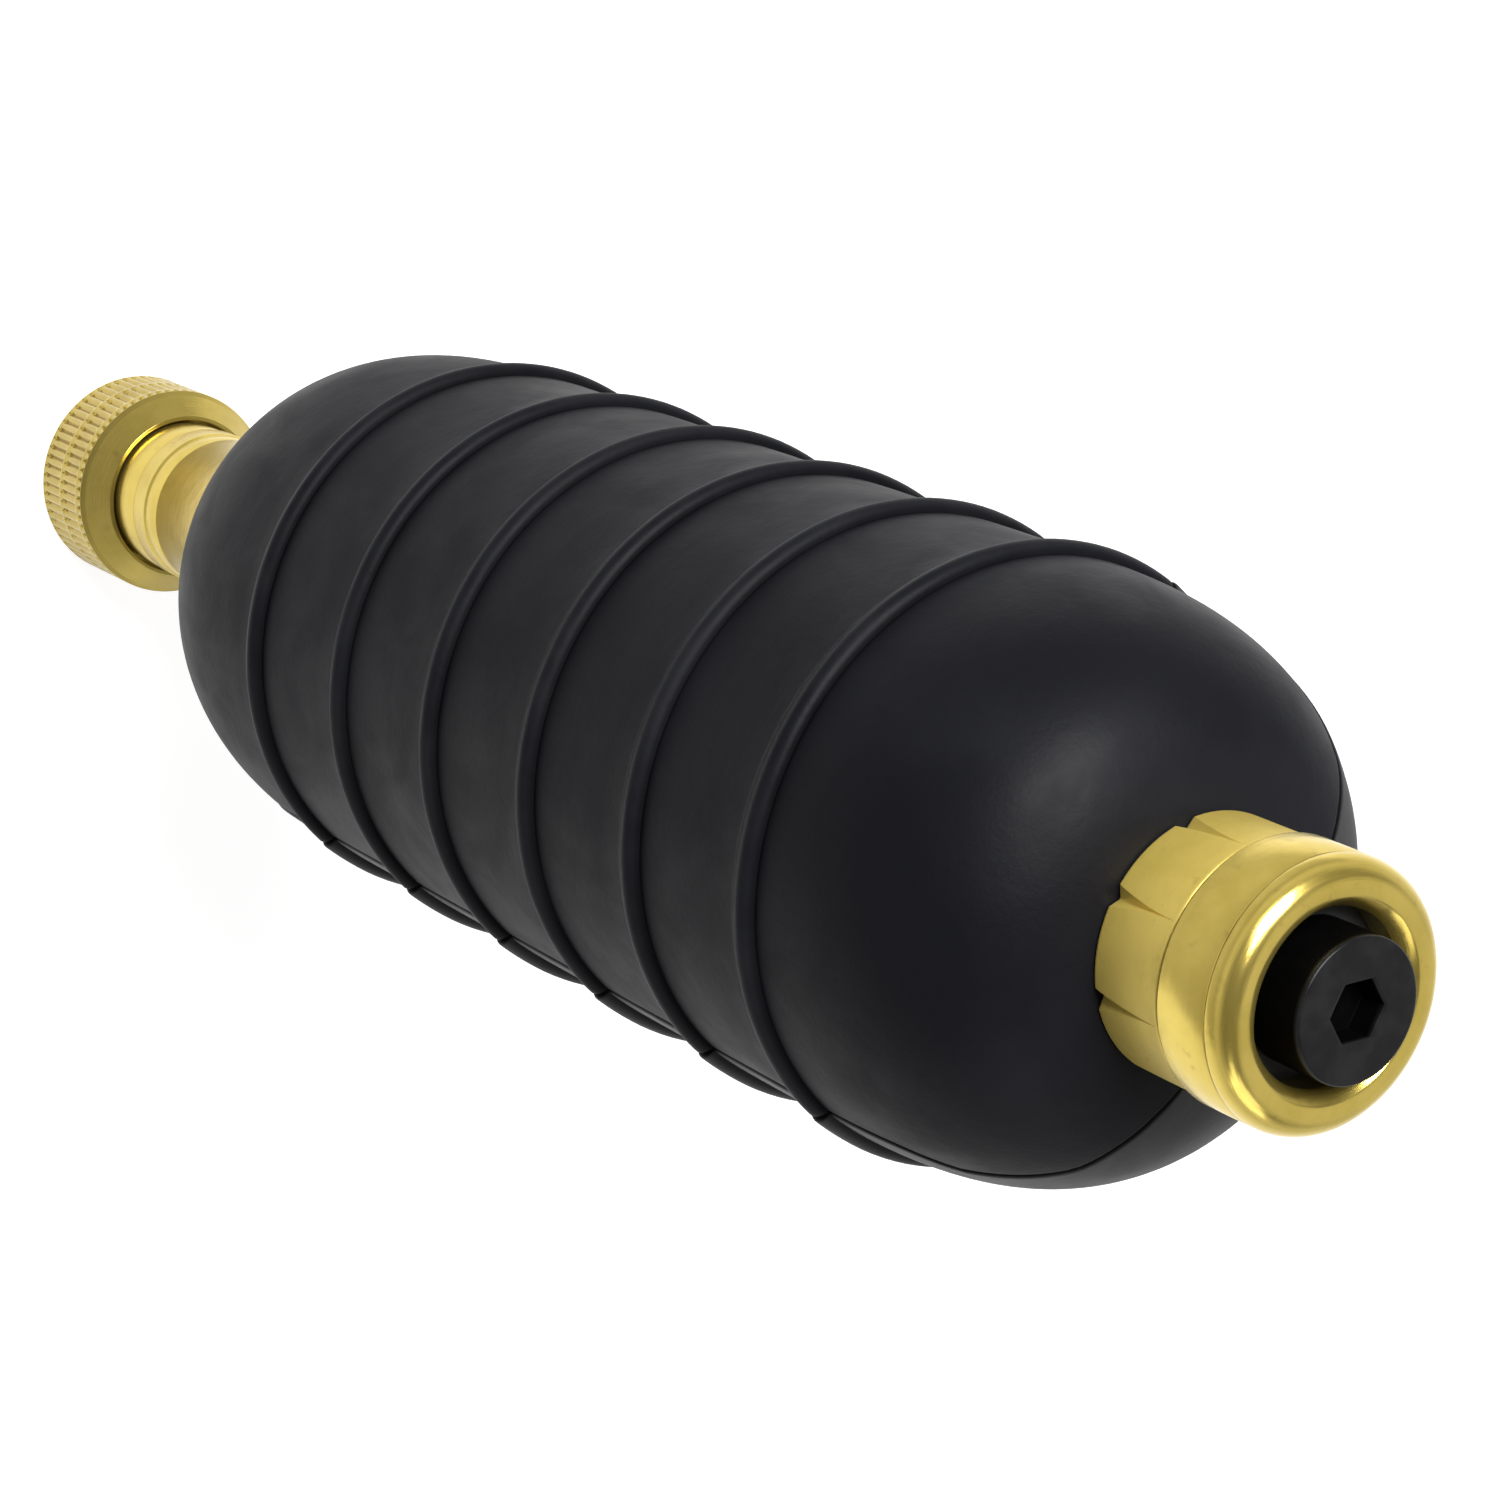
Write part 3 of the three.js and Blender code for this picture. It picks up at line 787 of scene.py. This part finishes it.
def make_tail_piece():
    outline = soften(
        [
            (INLET_BORE, TAIL_FLANGE_Z, 0.2),
            (TAIL_FLANGE_RADIUS, TAIL_FLANGE_Z, 0.15),
            (TAIL_FLANGE_RADIUS, TAIL_FLANGE_TOP_Z, 0.15),
            (NECK_RADIUS, TAIL_FLANGE_TOP_Z),
            (NECK_RADIUS, COLLAR_Z),
            (COLLAR_RADIUS, COLLAR_Z + 0.3, 0.1),
            (COLLAR_RADIUS, LAND_Z - 0.6),
            (SHANK_RADIUS, LAND_Z - 0.4),
            (LAND_RADIUS, LAND_Z, 0.2),
            (LAND_RADIUS, LAND_END_Z - 0.5, 0.25),
            (SHANK_RADIUS, LAND_END_Z, 0.2),
            (SHANK_RADIUS, TURNED_LINE_Z - 0.15),
            (SHANK_RADIUS - 0.08, TURNED_LINE_Z),
            (SHANK_RADIUS, TURNED_LINE_Z + 0.15),
            (SHANK_RADIUS, CLAMP_Z),
            (CLAMP_RADIUS, CLAMP_Z, 0.2),
            (CLAMP_RADIUS, CLAMP_END_Z, 0.5),
            (INLET_BORE, CLAMP_END_Z, 0.3),
        ],
        steps=3,
        hold=0.1,
    )
    return turned("tail_piece_brass", outline)


def make_ring_nut(name, seat_z, towards):
    far_z = seat_z + towards * RING_NUT_LENGTH
    low, high = min(seat_z, far_z), max(seat_z, far_z)
    rim = RING_NUT_RADIUS
    outline = soften(
        [
            (NECK_HOLE_RADIUS, low),
            (FACE_STEP_RADIUS, low),
            (rim, low, RING_NUT_EDGE),
            (rim, high, RING_NUT_EDGE),
            (FACE_STEP_RADIUS, high),
            (NECK_HOLE_RADIUS, high),
        ],
        steps=4,
        hold=0.1,
    )
    outline = dense(outline, 1.3, lambda p: p[0] > rim - 0.05)
    rows = []
    for radius, z in outline:
        fade = max(0.0, 1 - abs(z - seat_z) / RING_NUT_LENGTH)
        half = GROOVE_HALF_WIDTH * fade**2 + 0.06
        depth = GROOVE_DEPTH * fade**1.4
        marks = [-half - 0.5, -half - 0.1, -half, -half / 2, -0.1 * half, 0.1 * half]
        marks += [half / 2, half, half + 0.1, half + 0.5]
        cuts = [0, 0, 0, depth / 2, depth * 0.9, depth * 0.9, depth / 2, 0, 0, 0]
        spare = np.linspace(half + 0.5, TURN * rim / GROOVE_COUNT - half - 0.5, 10)[1:-1]
        ways = np.array(marks + list(spare))
        cuts = np.array(cuts + [0] * len(spare)) * (1 if radius > 13.5 else 0)
        starts = [GROOVE_PHASE + k * TURN / GROOVE_COUNT for k in range(GROOVE_COUNT)]
        angles = np.concatenate([start + ways / rim for start in starts])
        rows.append(round_row(radius - np.tile(cuts, GROOVE_COUNT), z, angles))
    return shell(name, rows, sharp=28)


def make_nozzle_head():
    centre_r, centre_z = HEAD_RADIUS - HEAD_ROUNDING, HEAD_CREST_Z - HEAD_ROUNDING
    outline = [
        (NECK_HOLE_RADIUS, HEAD_REAR_Z),
        (HEAD_RADIUS - 0.6, HEAD_REAR_Z),
        (HEAD_RADIUS - 0.4, HEAD_REAR_Z, 0.1),
        (HEAD_RADIUS, HEAD_REAR_Z + 0.4, 0.2),
        (HEAD_RADIUS, HEAD_REAR_Z + 1.6),
        (HEAD_RADIUS, centre_z - 0.35),
        (HEAD_RADIUS - 0.09, centre_z - 0.2),
        (HEAD_RADIUS, centre_z - 0.02),
    ]
    for degrees in np.linspace(6, 112, 20):
        angle = math.radians(degrees)
        out, rise = HEAD_ROUNDING * math.cos(angle), HEAD_ROUNDING * math.sin(angle)
        outline.append((centre_r + out, centre_z + rise))
    outline += [(MOUTH_RADIUS, HEAD_CREST_Z - MOUTH_DISH, 0.25)]
    outline += [(MOUTH_RADIUS, PLUG_REAR_Z), (NECK_HOLE_RADIUS, PLUG_REAR_Z)]
    return turned("nozzle_head_brass", soften(outline, steps=4, hold=0.08), columns=160)


# Small parts
def seal_ring(name, bore, radius, low, high, edge, mouth_edge):
    corners = [(bore, low, edge), (radius, low, edge)]
    corners += [(radius, high, edge), (bore, high, mouth_edge)]
    return turned(name, soften(corners), columns=96)


def make_washer():
    radius = TAIL_FLANGE_RADIUS
    return seal_ring("hose_washer_rubber", WASHER_BORE, radius, WASHER_Z, WASHER_TOP_Z, 0.4, 0.4)


def make_seat():
    return seal_ring(
        "valve_seat_rubber", VALVE_SEAT_BORE, SHANK_RADIUS, VALVE_SEAT_Z, VALVE_SEAT_TOP_Z, 0.2, 0.5
    )


def hex_radius(angles, across_flats):
    return across_flats / 2 / np.cos(np.mod(angles, math.pi / 3) - math.pi / 6)


def make_plug():
    angles = even_turn(96)
    hexagon = hex_radius(angles, HEX_ACROSS_FLATS)
    floor_z = PLUG_FACE_Z - HEX_DEPTH
    rows = []
    rim = PLUG_RADIUS - PLUG_CHAMFER
    side = [
        (5.0, PLUG_REAR_Z),
        (rim - 0.25, PLUG_REAR_Z),
        (rim, PLUG_REAR_Z),
        (PLUG_RADIUS, PLUG_REAR_Z + PLUG_CHAMFER),
        (PLUG_RADIUS, PLUG_REAR_Z + 0.5),
        (PLUG_RADIUS, PLUG_FACE_Z - 0.6),
    ]
    for radius, z in side:
        rows.append(round_row(radius, z, angles))
    for degrees in np.linspace(0, 90, 5):
        turn = math.radians(degrees)
        out, rise = PLUG_CHAMFER * math.cos(turn), PLUG_CHAMFER * math.sin(turn)
        rows.append(round_row(rim + out, PLUG_FACE_Z - PLUG_CHAMFER + rise, angles))
    rows.append(round_row(rim - 0.15, PLUG_FACE_Z, angles))
    for spread, drop in ((0.45, 0), (0.3, 0), (0.12, 0.06), (0, 0.22), (0, 0.45)):
        rows.append(round_row(hexagon + spread, PLUG_FACE_Z - drop, angles))
    rows.append(round_row(hexagon, floor_z + 0.1, angles))
    rows.append(round_row(hexagon * 0.97, floor_z, angles))
    rows.append(round_row(1.6, floor_z, angles))
    poles = {"first_pole": PLUG_REAR_Z, "last_pole": floor_z - 0.9}
    return shell("valve_plug_black", rows, closed=False, sharp=30, **poles)


def make_spring():
    around = even_turn(12)
    steps = SPRING_TURNS * 28
    rise = SPRING_TOP_Z - SPRING_BOTTOM_Z - 2 * SPRING_WIRE_RADIUS
    rows = []
    for step in range(steps + 1):
        way = TURN * SPRING_TURNS * step / steps
        reach = SPRING_MEAN_RADIUS + SPRING_WIRE_RADIUS * np.cos(around)
        height = SPRING_BOTTOM_Z + SPRING_WIRE_RADIUS * (1 + np.sin(around)) + rise * step / steps
        rows.append(np.stack([reach * math.cos(way), reach * math.sin(way), height], axis=1))
    return shell("valve_spring_wire", rows, closed=False, capped=True)


def dress(piece, node, body, material=None):
    if material is not None:
        piece.data.materials.clear()
        piece.data.materials.append(material)
    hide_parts(node)
    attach(piece, body)


dress(make_bladder(), "bladder", "housing")
dress(make_coupling_nut(), "coupling_nut", "coupling")
dress(make_tail_piece(), "tail_piece", "housing", TAIL_BRASS)
ring_nut = make_ring_nut("inlet_ring_nut_brass", REAR_SEAT_Z - SEAT_GAP, -1)
dress(ring_nut, "inlet_ring_nut", "housing", RING_BRASS)
ring_nut = make_ring_nut("nozzle_ring_nut_brass", FRONT_SEAT_Z + SEAT_GAP, 1)
dress(ring_nut, "nozzle_ring_nut", "housing", RING_BRASS)
dress(make_nozzle_head(), "nozzle_head", "housing", BRASS)
dress(make_washer(), "hose_washer", "coupling", SEAL)
dress(make_seat(), "valve_seat", "housing", SEAL)
dress(make_plug(), "valve_plug", "valve", PLASTIC)

# The spring stands on its cup and moves with the valve
spring = make_spring()
dress(spring, "valve_spring", "valve", STEEL)
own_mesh(spring)

# Pieces inside the rubber keep their modelled shape and get a finish
KEPT_NODES = {
    "nozzle_body": BRASS,
    "valve_stem": STEEL,
    "spring_cup": STEEL,
    "stem_nut": STEEL,
}
for node_name, material in KEPT_NODES.items():
    for material_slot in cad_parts[node_name].material_slots:
        material_slot.material = material


# Studio
def make_floor():
    mesh = bpy.data.meshes.new("studio_floor")
    reach = 12
    ring = [(reach * math.cos(a), reach * math.sin(a), 0) for a in even_turn(64)]
    mesh.from_pydata(ring, [], [list(range(64))])
    made = bpy.data.objects.new("studio_floor", mesh)
    bpy.context.scene.collection.objects.link(made)
    look = bpy.data.materials.new("Studio floor")
    look.use_nodes = True
    tree = look.node_tree
    tree.nodes.clear()
    coordinates = tree.nodes.new("ShaderNodeTexCoord")
    parts = tree.nodes.new("ShaderNodeSeparateXYZ")
    tree.links.new(coordinates.outputs["Object"], parts.inputs[0])
    x, y = Field(tree, parts.outputs[0]), Field(tree, parts.outputs[1])
    # The floor turns pale grey towards the side that the photograph's brass shows dark
    grey = ((x * -0.62 + y * 0.78 - 0.095) / 0.07).clamped()
    tone = grey * -0.55 + 1.0
    paths = tree.nodes.new("ShaderNodeLightPath")
    seen = Field(tree, paths.outputs["Is Camera Ray"])
    seen = seen.math("MAXIMUM", Field(tree, paths.outputs["Is Glossy Ray"]))
    seen = seen.math("MAXIMUM", Field(tree, paths.outputs["Is Transmission Ray"]))
    paper = tree.nodes.new("ShaderNodeBsdfDiffuse")
    tree.links.new((tone * 0.45).socket, paper.inputs["Color"])
    glow = tree.nodes.new("ShaderNodeEmission")
    tree.links.new((seen * tone * 0.8).socket, glow.inputs["Strength"])
    both = tree.nodes.new("ShaderNodeAddShader")
    tree.links.new(paper.outputs[0], both.inputs[0])
    tree.links.new(glow.outputs[0], both.inputs[1])
    out = tree.nodes.new("ShaderNodeOutputMaterial")
    tree.links.new(both.outputs[0], out.inputs["Surface"])
    mesh.materials.append(look)
    return made


def make_world():
    world = bpy.data.worlds.new("Studio")
    bpy.context.scene.world = world
    world.use_nodes = True
    tree = world.node_tree
    tree.nodes.clear()
    coordinates = tree.nodes.new("ShaderNodeTexCoord")
    parts = tree.nodes.new("ShaderNodeSeparateXYZ")
    tree.links.new(coordinates.outputs["Generated"], parts.inputs[0])
    x, y, height = (Field(tree, parts.outputs[axis]) for axis in range(3))
    # White at the horizon, dim overhead, with one pale panel that the nozzle's face looks into
    level = ((height - 0.2) / 0.3).clamped() * -0.8 + 0.95
    panel_x, panel_y, panel_z = 0.562, -0.312, 0.766
    towards = x * panel_x + y * panel_y + height * panel_z
    panel = ((towards - 0.8) / 0.12).clamped()
    level = level + panel * 0.7
    background = tree.nodes.new("ShaderNodeBackground")
    tree.links.new(level.socket, background.inputs["Strength"])
    out = tree.nodes.new("ShaderNodeOutputWorld")
    tree.links.new(background.outputs[0], out.inputs["Surface"])


def softbox(name, azimuth, elevation, distance, width, height, power):
    """A rectangular lamp that faces the middle of the part; lengths in metres."""
    target = Vector((0, 0, 0.15))
    a, e = math.radians(azimuth), math.radians(elevation)
    way = Vector((math.cos(e) * math.cos(a), math.cos(e) * math.sin(a), math.sin(e)))
    data = bpy.data.lights.new(name, "AREA")
    data.shape = "RECTANGLE"
    data.size, data.size_y = width, height
    data.energy = power
    lamp = bpy.data.objects.new(name, data)
    lamp.location = target + way * distance
    lamp.rotation_euler = way.to_track_quat("Z", "Y").to_euler()
    lamp.visible_camera = False
    bpy.context.scene.collection.objects.link(lamp)


def make_camera():
    right = Vector((0.8319, 0, 0.5549))
    up = Vector((0.1632, 0.9557, -0.2448))
    back = Vector((-0.5303, 0.2942, 0.7951))
    place = Matrix((right, up, back)).transposed().to_4x4()
    place.translation = Vector((-0.25921, 0.14314, 0.56270))
    data = bpy.data.cameras.new("Photo camera")
    data.sensor_fit = "HORIZONTAL"
    data.sensor_width = 36
    data.lens = 95.85
    data.clip_start = 0.01
    camera = bpy.data.objects.new("Photo camera", data)
    camera.matrix_world = place
    bpy.context.scene.collection.objects.link(camera)
    bpy.context.scene.camera = camera


make_floor()
make_world()
softbox("key_softbox", 102, 56, 1.0, 0.5, 0.5, 20)
softbox("fill_softbox", -100, 35, 1.3, 0.8, 0.6, 3)
make_camera()
bpy.context.scene.view_settings.view_transform = "Standard"
